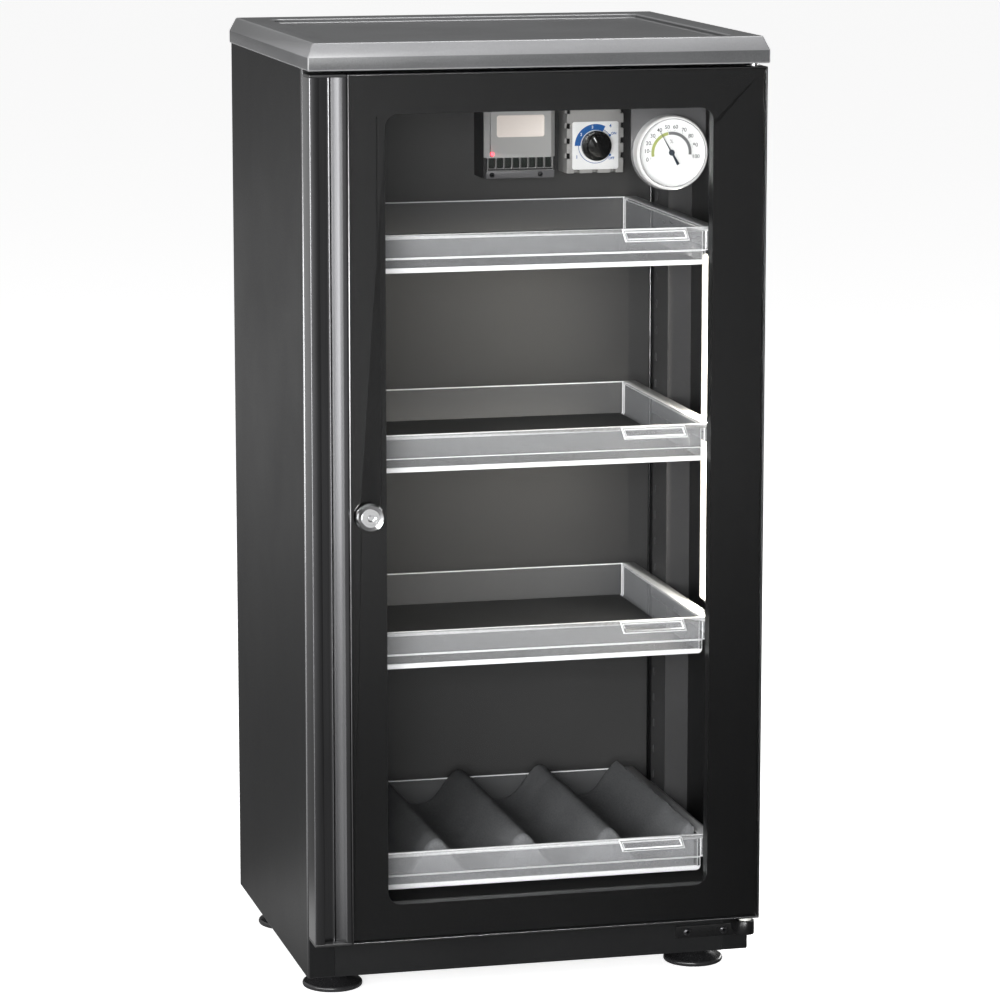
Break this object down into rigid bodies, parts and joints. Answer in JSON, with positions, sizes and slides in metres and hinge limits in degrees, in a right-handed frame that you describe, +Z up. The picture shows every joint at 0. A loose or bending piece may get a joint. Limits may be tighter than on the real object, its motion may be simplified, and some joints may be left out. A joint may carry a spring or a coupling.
{
  "type": "camera dry cabinet",
  "caption": "Upright steel dry cabinet with a lockable glass door, clear pull-out trays on slotted uprights, a drying unit, a humidity setting knob and a humidity dial.",
  "frame": {"origin": "on the floor under the middle of the outer box", "axes": "+X to the right seen from the front, +Y from the door into the cabinet, +Z up"},
  "size_m": [0.4004, 0.388, 0.834],
  "materials": {
    "body_steel": "satin black powder coat",
    "inner_steel": "matt black powder coat",
    "lid_plastic": "dark grey moulded plastic with a fine grain",
    "foot_plastic": "glossy black",
    "upright_steel": "satin black powder coat",
    "rail_steel": "zinc-plated steel",
    "light_aluminium": "satin anodised",
    "diffuser": "white diffuser, lit from inside",
    "drier_black": "matt black",
    "drier_grey": "light grey, fine texture",
    "drier_dark": "dark grey paint",
    "lamp_red": "clear red lens, lit from inside",
    "cartridge_plastic": "off-white",
    "circuit_board": "green solder mask",
    "gland_rubber": "matt black",
    "control_plastic": "warm grey, fine texture",
    "dial_white": "white with printed blue and black scale",
    "thermostat_metal": "plain",
    "bracket_paint": "dark grey paint",
    "bezel_metal": "silver lacquer",
    "dial_card": "white with printed scale",
    "dial_glass": "clear",
    "hinge_black": "satin black paint",
    "bare_steel": "plated",
    "screw_steel": "black zinc",
    "seal_rubber": "matt black",
    "door_paint": "satin black powder coat",
    "door_glass": "clear polished",
    "border_print": "black print behind the glass",
    "grip_aluminium": "dark grey anodised, drawn lengthwise",
    "cap_plastic": "satin black",
    "bush_plastic": "natural white",
    "lock_chrome": "bright chrome",
    "knob_plastic": "matt black with a white pointer",
    "needle_metal": "blue-black lacquer",
    "tray_clear": "clear moulded plastic",
    "mat_foam": "dark grey foam",
    "cradle_foam": "mid grey foam"
  },
  "bodies": {
    "cabinet": {"left_side_panel": "body_steel", "right_side_panel": "body_steel", "back_panel": "inner_steel", "ceiling_panel": "inner_steel", "floor_panel": "inner_steel", "base_plate": "body_steel", "kick_panel": "body_steel", "header_panel": "body_steel", "top_lid": "lid_plastic", "feet": "foot_plastic", "front_left_upright": "upright_steel", "front_right_upright": "upright_steel", "rear_left_upright": "upright_steel", "rear_right_upright": "upright_steel", "left_tray_rails": "rail_steel", "right_tray_rails": "rail_steel", "light_housing": "light_aluminium", "light_diffuser": "diffuser", "drier_base": "drier_black", "drier_cover": "drier_grey", "drier_grille": "drier_grey", "drier_sill": "drier_dark", "indicator_lamp": "lamp_red", "desiccant_cartridge": "cartridge_plastic", "drier_circuit_board": "circuit_board", "rear_vent_cover": "drier_black", "cord_gland": "gland_rubber", "control_box": "control_plastic", "dial_plate": "dial_white", "thermostat": "thermostat_metal", "hygrometer_bracket": "bracket_paint", "hygrometer_case": "bezel_metal", "hygrometer_dial": "dial_card", "hygrometer_glass": "dial_glass", "lower_hinge_bracket": "hinge_black", "upper_hinge_bracket": "bare_steel", "hinge_pins": "bare_steel", "bracket_screws": "screw_steel", "strike_plate": "bare_steel", "door_seal": "seal_rubber"},
    "door": {"door_frame": "door_paint", "door_inner_pan": "door_paint", "door_glass": "door_glass", "glass_border": "border_print", "door_handle": "grip_aluminium", "handle_end_caps": "cap_plastic", "hinge_bushes": "bush_plastic", "lock_barrel": "lock_chrome"},
    "lock": {"lock_plug": "lock_chrome", "lock_cam": "bare_steel"},
    "knob": {"control_knob": "knob_plastic"},
    "needle": {"hygrometer_needle": "needle_metal"},
    "tray_one": {"tray_1": "tray_clear", "tray_1_mat": "mat_foam"},
    "tray_two": {"tray_2": "tray_clear", "tray_2_mat": "mat_foam"},
    "tray_three": {"tray_3": "tray_clear", "tray_3_mat": "mat_foam"},
    "tray_four": {"tray_4": "tray_clear", "lens_cradle": "cradle_foam"}
  },
  "joints": [
    {"name": "door_hinge", "type": "hinge", "parent": "cabinet", "child": "door", "pos_m": [0.191, -0.174, 0.4345], "axis": [0, 0, 1], "range_deg": [0, 140]},
    {"name": "lock_turn", "type": "hinge", "parent": "door", "child": "lock", "pos_m": [-0.149, -0.17, 0.4337], "axis": [0, 1, 0], "range_deg": [0, 90]},
    {"name": "humidity_setting", "type": "hinge", "parent": "cabinet", "child": "knob", "pos_m": [0.1345, 0.125, 0.7135], "axis": [0, 1, 0], "range_deg": [-207, 86]},
    {"name": "humidity_needle", "type": "hinge", "parent": "cabinet", "child": "needle", "pos_m": [0.1325, -0.127, 0.7305], "axis": [0, 1, 0], "range_deg": [-74, 133]},
    {"name": "tray_one_slide", "type": "slide", "parent": "cabinet", "child": "tray_one", "axis": [0, -1, 0], "range_m": [0, 0.1077]},
    {"name": "tray_two_slide", "type": "slide", "parent": "cabinet", "child": "tray_two", "axis": [0, -1, 0], "range_m": [0, 0.1077]},
    {"name": "tray_three_slide", "type": "slide", "parent": "cabinet", "child": "tray_three", "axis": [0, -1, 0], "range_m": [0, 0.1077]},
    {"name": "tray_four_slide", "type": "slide", "parent": "cabinet", "child": "tray_four", "axis": [0, -1, 0], "range_m": [0, 0.1077]}
  ],
  "couplings": [
    {"joint": "tray_one_slide", "follows": "door_hinge", "m_per_rad": 0.044},
    {"joint": "tray_two_slide", "follows": "door_hinge", "m_per_rad": 0.044},
    {"joint": "tray_three_slide", "follows": "door_hinge", "m_per_rad": 0.044},
    {"joint": "tray_four_slide", "follows": "door_hinge", "m_per_rad": 0.044}
  ]
}
